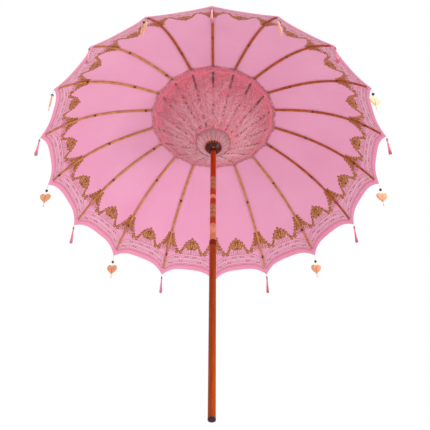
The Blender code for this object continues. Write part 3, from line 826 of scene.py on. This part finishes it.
def web_threads(build, k):
    """Straight threads from this strut to the next, which the next sector carries on."""
    for side in (-1, 1):
        rng = random.Random(900 + (k if side > 0 else (k - 1) % RIBS))
        for thread in range(WEB_THREADS):
            start = rng.uniform(0.102, 0.350)
            slanted = thread % 5 < 3
            if slanted:
                lean = rng.choice((-1, 1)) * rng.uniform(0.04, 0.15) * (start / 0.25)
            else:
                lean = rng.gauss(0, 0.025)
            pale = rng.random() < (0.75 if start < 0.24 else 0.45)
            slot = 1 if pale and slanted else rng.choice((0, 2, 1 if pale else 0))
            thick = rng.uniform(0.0008, 0.0014) if slanted else rng.uniform(0.0006, 0.0010)
            below = rng.uniform(0.0008, 0.0022)
            end = start + lean
            if not 0.101 < end < 0.353:
                continue
            first, last = (start, end) if side > 0 else (end, start)
            share = np.linspace(0, 0.5, 5)
            rr = first + (last - first) * share
            path = web_point(k, side * 2 * share, rr, below + 0.0008 * np.exp(-((share / 0.1) ** 2)))
            tube(build, path, thick, 3, slot)


def dark_crossings(build, k):
    """Crossings over the strut, thickest where some of the struts meet their ribs."""
    rng = random.Random(300 + k)
    places = [0.10 + 0.25 * ((i + rng.random()) / 13) for i in range(13) if rng.random() > 0.35]
    if k in DARK_STRUTS:
        places += list(np.arange(0.296, 0.350, 0.008))
    for place in places:
        slot = rng.choice((3, 3, 3, 3, 4))
        for lean in (-1, 1):
            a = np.linspace(-1, 1, 4)
            rr = place + lean * a * 0.005
            path = web_point(k, a * 0.0065 / (place * HALF_CHORD), rr, 0.0030)
            tube(build, path, 0.0012, 4, slot)


def runner_ring_print(build, k):
    """The dotted ring round the runner, and the spokes inside it."""
    for side in (-1, 1):
        for i in range(5):
            t0 = side * (i + 0.08) / 5
            t1 = side * (i + 0.80) / 5
            path = web_point(k, np.linspace(t0, t1, 3), np.full(3, RING_RADIUS), 0.0030)
            tube(build, path, 0.0014, 4, 4)
        for i in range(10):
            tt = side * (i + 0.5) / 10
            path = web_point(k, np.full(4, tt), np.linspace(0.053, 0.096, 4), 0.0016)
            tube(build, path, 0.0008, 3, (1, 2, 1, 1, 4)[i % 5])


def make_web_edge(k):
    """The wound edge, which passes under the ribs and meets the cloth between them."""
    build = Build()
    t = np.linspace(-1, 1, 33)
    between = np.clip((np.abs(t) - 0.10) / 0.4, 0, 1)
    between = between**2 * (3 - 2 * between)
    inner = web_point(k, t, EDGE_IN, 0.0012)
    edge_height = rib_height(EDGE_OUT) - EDGE_BELOW_RIB + EDGE_RISE * between
    outer = np.column_stack([spread(k, t, EDGE_OUT)[0], edge_height])
    share = np.linspace(0, 1, 7)[:, None, None]
    bulge = np.array([0, 0, 0.0022]) * np.sin(np.pi * share)
    low = inner + (outer - inner) * share - bulge
    shell(build, low + np.array([0, 0, 0.0014]), low)
    # loose fibres past the edge
    rng = random.Random(600 + k)
    for i in range(EDGE_FIBRES):
        at = rng.uniform(-0.97, 0.97)
        rr = EDGE_OUT - 0.003 + rng.uniform(0.006, 0.024) * np.array([0, 0.5, 1.0])
        tt = np.clip(at + rng.uniform(-0.12, 0.12) * np.array([0, 0.4, 1.0]), -1, 1)
        z = rib_height(rr) - 0.0124 + EDGE_RISE * np.interp(tt, t, between) + rng.uniform(0, 0.0004)
        path = np.column_stack([spread(k, tt, rr)[0], z])
        tube(build, path, rng.uniform(0.0005, 0.0009), 3, i % 3 % 2)
    edge = build.piece(numbered("web_edge", k), [YARN, YARN_LIGHT], numbered("rib", k), "pink_yarn")
    narrows(k, "rib", RIB_KEEP, edge)


def make_web(k):
    body = numbered("strut", k)
    build = Build()
    t = np.linspace(-1, 1, 25)[None, :]
    r = np.linspace(WEB_IN, WEB_OUT, 34)[:, None] * np.ones_like(t)
    lumps = 0.0004 * np.sin(34 * r * 3) * np.cos(np.pi * t * 3)
    top = web_point(k, t * np.ones_like(r), r, -0.0007)
    bottom = web_point(k, t * np.ones_like(r), r, 0.0004 + lumps)
    shell(build, top, bottom)
    web = build.piece(numbered("web_gore", k), [YARN], body, "pink_yarn")
    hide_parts("string_web")
    build = Build()
    web_threads(build, k)
    dark_crossings(build, k)
    runner_ring_print(build, k)
    threads = build.piece(numbered("web_threads", k), WEB_MATERIALS, body, "pink_yarn")
    narrows(k, "strut", STRUT_KEEP, web, threads)
    make_web_edge(k)
    t, r = np.linspace(-1, 1, 33)[None, :], np.linspace(WEB_IN, WEB_OUT, 20)[:, None]
    grid = web_point(k, t, r)


for k in range(RIBS):
    make_web(k)

# ---- pole

POLE_UPPER = wood("varnished_upper_pole", (152, 38, 0), (200, 66, 4), (0.28, 0.40), 9.0, (5, 5, 0.16), 0.08)
POLE_LOWER = wood("varnished_lower_pole", (132, 38, 0), (196, 76, 4), (0.28, 0.40), 9.0, (5, 5, 0.16), 0.12)
POLE_DARK = wood("dark_turned_wood", (98, 20, 2), (140, 40, 6), (0.3, 0.4), 12.0, (5, 5, 0.3), 0.1)
POLE_BAND = wood("red_painted_ring", (162, 42, 2), (198, 66, 8), (0.3, 0.45), 20.0, (3, 3, 3), 0.08)
POLE_GOLD = gold("gold_pole_band", (158, 74, 44), (194, 110, 72), 0.2, (0.3, 0.45), 60.0)
POLE_TAN = gold("plain_gold_band", (206, 112, 72), (234, 148, 106), 0.1, (0.28, 0.4), 30.0)
OLD_BRASS = gold("old_brass_rim", (84, 58, 44), (124, 94, 70), 0.3, (0.35, 0.5), 200.0)
RUBBER = wood("foot_cap", (56, 26, 42), (80, 46, 60), (0.4, 0.6), 60.0, (1, 1, 1), 0.1)
BRASS = gold("brass", (190, 140, 60), (222, 178, 96), 0.9, (0.22, 0.36), 200.0)

# bands of the upper pole, from low to high: bottom, top, slot
POLE_MATERIALS = [POLE_UPPER, POLE_BAND, POLE_GOLD, POLE_TAN, GOLD_PALE_AND_HIGHLIGHT, POLE_DARK]
BANDS = (
    (1.1225, 1.2525, 3), (1.2525, 1.2965, 1), (1.2965, 1.4115, 2), (1.4115, 1.4555, 1),
    (1.4555, 1.490, 3), (1.490, 1.5335, 1), (1.5335, 1.650, 2), (1.650, 2.2495, 0),
)
BAND_STEP = 0.0004
BORE_ROOM = 0.0002  # the bands stay this far inside the pole's radius, so that the runner passes them


def turned_band(build, low, high, radius, slot, proud):
    edge = min(0.0016, (high - low) / 3)
    rows = [low, low + edge * 0.4, low + edge]
    rows += list(np.linspace(low + edge, high - edge, max(3, int((high - low) / 0.02)))[1:-1])
    rows += [high - edge, high - edge * 0.4, high]
    rise = [proud * min(1, (min(z - low, high - z) / edge) ** 0.5) for z in rows]
    lathe(build, [(radius + up, z) for up, z in zip(rise, rows)], 48, slot)


def wrapped(build, radius, middle, outline, slot, proud=0.0004):
    """A raised shape wrapped on the pole. outline is (across, up) in metres about middle =
    (turn, height)."""
    outline = np.asarray(outline, float)
    count = len(outline)
    turn = middle[0] + outline[:, 0] / radius
    z = middle[1] + outline[:, 1]
    low, high = (
        np.stack([np.cos(turn) * rim, np.sin(turn) * rim, z], -1)
        for rim in (radius - 0.0004, radius + proud * 0.6)
    )
    centre = np.mean(outline, axis=0)
    a = middle[0] + centre[0] / radius
    peak = [math.cos(a) * (radius + proud), math.sin(a) * (radius + proud), middle[1] + centre[1]]
    faces = []
    for i in range(count):
        j = (i + 1) % count
        faces += [(count + i, count + j, 2 * count), (i, j, count + j, count + i)]
    faces.append(tuple(range(count - 1, -1, -1)))
    build.add(np.concatenate([low, high, [peak]]), faces, slot)


def floral_band(build, low, high, radius, flowers=5, slot=4):
    """Carved flowers with leaves between them, round the pole."""
    middle, tall = (low + high) / 2, high - low
    for flower in range(flowers):
        turn = flower * 2 * math.pi / flowers
        size = min(tall * 0.36, 0.0085)
        for leaf in range(6):
            a = leaf * math.pi / 3
            shape = oval(0, size * 0.62, size * 0.55, size * 0.95, 0, 0.4, 8)
            shape = [(x * math.cos(a) + y * math.sin(a), y * math.cos(a) - x * math.sin(a)) for x, y in shape]
            wrapped(build, radius, (turn, middle), shape[::-1], slot)
        wrapped(build, radius, (turn, middle), oval(0, 0, size * 0.5, size * 0.5), slot, 0.0005)
        for up in (-1, 1):
            for across in (-1, 1):
                shape = oval(across * 0.0055, up * tall * 0.30, 0.0042, tall * 0.24, across * up * 38, 0.5, 8)
                wrapped(build, radius, (turn + math.pi / flowers, middle), shape, slot)
                if tall > 0.06:
                    lean = -across * up * 30
                    shape = oval(across * 0.0062, up * tall * 0.38, 0.0040, tall * 0.12, lean, 0.5, 8)
                    wrapped(build, radius, (turn, middle), shape, slot)


build = Build()
for low, high, slot in BANDS:
    turned_band(build, low, high, UPPER_RADIUS - BORE_ROOM - BAND_STEP, slot, BAND_STEP)
for low, high, slot in BANDS:
    if slot == 2:
        floral_band(build, low + 0.004, high - 0.004, UPPER_RADIUS - BORE_ROOM)
for low, high, slot in BANDS[1:]:
    turned_band(build, low - 0.0012, low + 0.0012, UPPER_RADIUS - BORE_ROOM, 5, 0.0005)
lathe(build, [(0.0118, 1.015), (0.0118, 1.1222)], 32, 0)
upper = build.piece("turned_upper_pole", POLE_MATERIALS, "mast", "varnished_hardwood")
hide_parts("upper_pole")

build = Build()
z = np.concatenate([[0.0103, 0.0110], np.linspace(0.03, 1.06, 40), [1.0825, 1.0838]])
wander = 0.00006 * np.sin(z * 21)
radius = np.where((z < 0.0105) | (z > 1.083), LOWER_RADIUS - 0.0006, LOWER_RADIUS) + wander
lathe(build, np.stack([radius, z], -1), 48, 0)
lower = build.piece("turned_lower_pole", [POLE_LOWER], "lower_pole", "varnished_hardwood")
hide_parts("lower_pole")

build = Build()
profile = [(0.0182, 1.0843), (0.0186, 1.0850), (0.0186, 1.0900), (0.0180, 1.0915), (0.0184, 1.0930)]
profile += [(0.0184, 1.1130), (0.0180, 1.1145), (0.0186, 1.1160), (0.0186, 1.1208), (0.0180, 1.1215)]
lathe(build, profile)
ferrule = build.piece("turned_ferrule", [POLE_DARK], "lower_pole", "dark_mahogany")
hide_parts("pole_ferrule")

build = Build()
lathe(build, [(0.0166, 0.0), (0.0178, 0.0008), (0.0182, 0.0020), (0.0182, 0.0062), (0.0180, 0.0066)], 48, 0)
lathe(build, [(0.0180, 0.0066), (0.0183, 0.0070), (0.0183, 0.0096), (0.0178, 0.0100)], 48, 1)
cap = build.piece("moulded_foot_cap", [RUBBER, OLD_BRASS], "lower_pole", "foot_cap_rubber")
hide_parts("foot_cap")

# ---- crown, runner and finial

DARK_WOOD = wood("dark_mahogany_turned", (40, 10, 8), (84, 24, 16), (0.26, 0.4), 30.0, (2, 2, 1), 0.2)
DARK_WIRE = gold("darkened_wire", (52, 24, 16), (86, 46, 30), 0.6, (0.35, 0.5), 200.0)
GILT = gold("gilded_finial", (176, 116, 52), (224, 170, 92), 0.7, (0.24, 0.42), 90.0)
RED_LACQUER = wood("red_lacquer_line", (136, 30, 20), (168, 52, 34), (0.2, 0.35), 40.0, (2, 2, 2), 0.5)


for name, material in (
    ("runner", DARK_WOOD), ("crown_hub", DARK_WOOD), ("runner_ring", DARK_WIRE),
    ("crown_ring", DARK_WIRE), ("locking_peg", BRASS),
):
    data = frame["nodes"][name].data
    data.materials.clear()
    data.materials.append(material)

build = Build()
steps, sides = 48, 8
a = (np.arange(steps) * 2 * math.pi / steps)[:, None]
minor = np.arange(sides) * 2 * math.pi / sides
for r, z, thick in ((0.0469, 1.9290, 0.0008), (0.0300, 1.9065, 0.0009)):
    out = r + thick * np.cos(minor)
    points = np.stack([np.cos(a) * out, np.sin(a) * out, z + thick * np.sin(minor) + 0 * a], -1)
    faces = []
    for i in range(steps):
        after = (i + 1) % steps
        for j in range(sides):
            up = (j + 1) % sides
            faces.append((i * sides + j, after * sides + j, after * sides + up, i * sides + up))
    build.add(points, faces)
build.piece("runner_lines", [RED_LACQUER], "runner")

base = 2.3031
build = Build()
flange = [(0.0145, 0), (0.034, 0), (0.036, 0.003), (0.0355, 0.006), (0.032, 0.0095), (0.017, 0.013)]
profile = [(r, base + up) for r, up in flange + [(0.017, 0.016)]]
neck, low = 0.017, base + 0.016
KNOBS = ((0.0285, 0.0135, 0.060), (0.0195, 0.0078, 0.092), (0.0120, 0.0070, 0.118))
for widest, above, height in KNOBS:
    for share in np.linspace(0, 1, 13)[1:]:
        between = neck + (above - neck) * share
        bulge = max(0.0, math.sin(math.pi * share)) ** 0.7
        profile.append((between + (widest - between) * bulge, low + (base + height - low) * share))
    neck, low = above, base + height
profile += [(0.0048, base + 0.140), (0.0026, 2.470), (0.0010, 2.4745)]


def lotus(turn, z):
    """Petal ribs on the finial's largest knob."""
    share = np.clip((z - (base + 0.018)) / 0.040, 0, 1)
    return -0.0012 * np.sin(np.pi * share) * np.abs(np.sin(turn * 6))


lathe(build, profile, 72, 0, lotus)
finial = build.piece("gilded_finial", [GILT], "mast", "gold_paint")
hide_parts("finial")

# ---- charms and tassels

CHARM_GRAIN = dict(rough=(0.45, 0.6), grain=60.0, stretch=(3, 3, 1), gloss=0.1, bump=0.1)
CHARM_WOOD = wood("charm_wood", (234, 158, 112), (250, 188, 142), **CHARM_GRAIN)
# a paler copy of the charm wood: a painted highlight for the heart that faces the light
CHARM_PAINTED_HIGHLIGHT = wood("charm_wood_painted_highlight", (240, 205, 150), (250, 226, 180), **CHARM_GRAIN)
BEAD_DARK = wood("dark_bead", (44, 12, 28), (72, 24, 42), (0.2, 0.35), 50.0, (1, 1, 1), 0.25, 0.02)
BEAD_GREY = wood("grey_brown_bead", (120, 96, 88), (156, 130, 116), (0.3, 0.5), 80.0, (1, 1, 1), 0.3, 0.05)
THREAD = yarn("hanging_thread", (206, 164, 128), (232, 196, 160), 400.0)
CHARM_TURNS = {1: 72, 3: 20, 9: 90, 15: 108, 17: -60}  # degrees, by rib
HEART_DROP, HEART_HALF_WIDTH, HEART_HEIGHT, HEART_HALF = 0.086, 0.031, 0.086, 0.004


def heart_edge(steps):
    t = np.arange(steps) * 2 * math.pi / steps
    up = (13 * np.cos(t) - 5 * np.cos(2 * t) - 2 * np.cos(3 * t) - np.cos(4 * t)) / 29
    return np.stack([np.sin(t) ** 3 * HEART_HALF_WIDTH, (up - 0.41) * HEART_HEIGHT - HEART_DROP], -1)


def make_heart(number, k):
    """A charm about its corner of the cloth, swivelled on its thread."""
    build = Build()
    edge = heart_edge(56)
    middle = np.array([0.0, edge[:, 1].mean() + 0.006])
    half = HEART_HALF
    rings = [(1.0, 0.0026), (0.965, half), (0.62, half * 1.02), (0.28, half * 0.98)]
    rings = [(share, y) for share, y in reversed(rings)] + [(share, -y) for share, y in rings]
    rows = []
    for share, y in rings:
        x, z = (middle + (edge - middle) * share).T
        rows.append(np.column_stack([x, np.full(len(edge), -y), z]))
    points = np.stack(rows)
    # a shallow groove down the middle of both faces
    groove = np.exp(-((points[..., 0] / 0.0022) ** 2)) * (np.abs(points[..., 1]) > 0.003)
    points[..., 1] -= np.sign(points[..., 1]) * 0.0011 * groove
    faces = grid_faces(len(points), len(edge), wrap=True)
    faces.append(tuple(range(len(edge) - 1, -1, -1)))
    faces.append(tuple((len(points) - 1) * len(edge) + i for i in range(len(edge))))
    build.add(points, faces, 0)
    # a grey-brown line along the groove: painted shade in the recess
    for y in (-half + 0.0007, half - 0.0007):
        tube(build, [(0, y, -0.095), (0, y, -0.12), (0, y, -0.153)], 0.0009, 6, 1)
    sway = np.linspace(-0.004, -0.089, 12)
    tube(build, np.column_stack([0.0006 * np.sin(sway * 90), np.zeros(12), sway]), 0.0010, 6, 2)
    tube(build, [(0, 0, -0.171), (0, 0, -0.192)], [0.0018, 0.0012], 8, 0)
    ball(build, (0, 0, -0.056), 0.0082, 3, 1.05, 16, 10, 0.001)
    ball(build, (0, 0, -0.192), 0.0042, 0, 0.9, 12, 8, 0.0006)
    turn = Matrix.Rotation(math.radians(CHARM_TURNS.get(k, 0)), 4, "Z")
    corner = polar(k, TIP_RADIUS, TIP_HEIGHT)
    place = Matrix.Translation(Vector(corner)) @ turn
    build.points = [tuple(place @ Vector(p)) for p in build.points]
    # the heart on rib 3 gets the paler wood as a painted highlight
    face = CHARM_PAINTED_HIGHLIGHT if k == 3 else CHARM_WOOD
    materials = [face, BEAD_GREY, THREAD, BEAD_DARK]
    body = f"heart_charm_{number:02d}"
    heart = build.piece(f"carved_heart_{number:02d}", materials, body, "pale_charm_wood")
    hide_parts(body)


for number, k in enumerate(range(1, RIBS, 2), 1):
    make_heart(number, k)


TASSEL_THREADS, TASSEL_LENGTH = 64, 0.116
GOLDEN_ANGLE = 2.39996


def make_tassel(k):
    rng = random.Random(700 + k)
    build = Build()
    corner = polar(k, TIP_RADIUS, TIP_HEIGHT)
    x, y, z = corner
    drop = np.linspace(-0.002, -0.021, 6)
    tube(build, np.column_stack([x + 0.0004 * np.sin(drop * 200), np.full(6, y), z + drop]), 0.0009, 5, 1)
    ball(build, (x, y, z - 0.0215), 0.0050, 3 if k == 0 else 2, 0.8, 14, 8, 0.0008)
    ball(build, (x, y, z - 0.0310), 0.0054, 2, 0.8, 14, 8, 0.0008)
    # a bound neck, then the loose skirt
    a = np.linspace(0, 2 * math.pi, 13)
    for i in range(5):
        height = np.full(13, z - 0.0385 - 0.0016 * i)
        tube(build, np.column_stack([x + 0.0042 * np.cos(a), y + 0.0042 * np.sin(a), height]), 0.0009, 5)
    ball(build, (x, y, z - 0.0405), 0.0044, 0, 1.3, 12, 8)
    s = np.linspace(0, 1, 6)
    for i in range(TASSEL_THREADS):
        a = i * GOLDEN_ANGLE + 0.3 * s
        out = math.sqrt((i + 0.5) / TASSEL_THREADS)
        reach = 0.0030 * out + (0.0062 * out + rng.uniform(-0.0006, 0.0006)) * s**1.3
        long = TASSEL_LENGTH + rng.uniform(-0.004, 0.003)
        path = np.column_stack([x + np.cos(a) * reach, y + np.sin(a) * reach, z - 0.0410 - long * s])
        tube(build, path, 0.00105, 4)
    thread = TASSEL_DEEP if k in (2, 4, 6, 8) else TASSEL_LIGHT
    materials = [thread, THREAD, BEAD_GREY, BRASS]
    tassel = build.piece(f"tassel_{k // 2 + 1:02d}", materials, numbered("rib", k), "pink_yarn")
    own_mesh(tassel)


for k in range(0, RIBS, 2):
    make_tassel(k)

# ---- camera, floor and light

PITCH, YAW, ROLL = 0.84316, -0.00806, 0.00314
CAMERA_PLACE, LENS = (0.03717, -3.2105, -2.27486), 74.52
facing = Vector((math.sin(YAW), math.cos(YAW), 0))
right = Vector((math.cos(YAW), -math.sin(YAW), 0))
ahead = facing * math.cos(PITCH) + Vector((0, 0, math.sin(PITCH)))
above = Vector((0, 0, math.cos(PITCH))) - facing * math.sin(PITCH)
camera_x = right * math.cos(ROLL) + above * math.sin(ROLL)
camera_y = above * math.cos(ROLL) - right * math.sin(ROLL)
camera = bpy.data.objects.new("camera", bpy.data.cameras.new("camera"))
bpy.context.scene.collection.objects.link(camera)
camera.data.sensor_width = 36.0
camera.data.lens = LENS
camera.data.clip_end = 60.0
rows = [[camera_x[i], camera_y[i], -ahead[i], CAMERA_PLACE[i]] for i in range(3)]
camera.matrix_world = Matrix(rows + [[0, 0, 0, 1]])
bpy.context.scene.camera = camera


FLOOR_HALF = 9.0


def make_floor():
    data = bpy.data.meshes.new("floor")
    corners = [(x * FLOOR_HALF, y * FLOOR_HALF, 0) for x, y in ((-1, -1), (1, -1), (1, 1), (-1, 1))]
    data.from_pydata(corners, [], [(0, 1, 2, 3)])
    made = bpy.data.objects.new("floor", data)
    made.location.z = -0.0005
    bpy.context.scene.collection.objects.link(made)
    material = bpy.data.materials.new("pale_floor")
    material.use_nodes = True
    nodes, links = material.node_tree.nodes, material.node_tree.links
    shader = nodes["Principled BSDF"]
    shader.inputs["Base Color"].default_value = (0.86, 0.86, 0.86, 1)
    shader.inputs["Roughness"].default_value = 0.7
    # seen from below, as the camera sees it, the floor is clear
    clear = nodes.new("ShaderNodeBsdfTransparent")
    mix = nodes.new("ShaderNodeMixShader")
    geometry = nodes.new("ShaderNodeNewGeometry")
    links.new(geometry.outputs["Backfacing"], mix.inputs[0])
    links.new(shader.outputs[0], mix.inputs[1])
    links.new(clear.outputs[0], mix.inputs[2])
    links.new(mix.outputs[0], nodes["Material Output"].inputs["Surface"])
    data.materials.append(material)
    made.visible_diffuse = False
    made.visible_glossy = False


LIGHT_TARGET, LIGHT_SIZE = Vector((0, 0, 2.0)), 3.0


def area_light(name, place, power):
    data = bpy.data.lights.new(name, "AREA")
    data.shape = "DISK"
    data.size = LIGHT_SIZE
    data.energy = power
    made = bpy.data.objects.new(name, data)
    made.location = place
    made.rotation_mode = "QUATERNION"
    made.rotation_quaternion = (LIGHT_TARGET - Vector(place)).to_track_quat("-Z", "Y")
    bpy.context.scene.collection.objects.link(made)


make_floor()
area_light("key", (4.2, -1.4, -0.6), 260)
area_light("fill", (-3.2, -3.6, -0.6), 40)
area_light("top", (1.0, -1.0, 5.0), 150)
world = bpy.data.worlds.new("studio")
bpy.context.scene.world = world
world.use_nodes = True
nodes, links = world.node_tree.nodes, world.node_tree.links
lit, seen = nodes["Background"], nodes.new("ShaderNodeBackground")
lit.inputs["Strength"].default_value = 0.88
lit.inputs["Color"].default_value = (1, 1, 1, 1)
seen.inputs["Strength"].default_value = 1.0
seen.inputs["Color"].default_value = (1, 1, 1, 1)
mix, rays = nodes.new("ShaderNodeMixShader"), nodes.new("ShaderNodeLightPath")
links.new(rays.outputs["Is Camera Ray"], mix.inputs[0])
links.new(lit.outputs[0], mix.inputs[1])
links.new(seen.outputs[0], mix.inputs[2])
links.new(mix.outputs[0], nodes["World Output"].inputs["Surface"])
bpy.context.scene.view_settings.view_transform = "Standard"

bpy.context.view_layer.update()
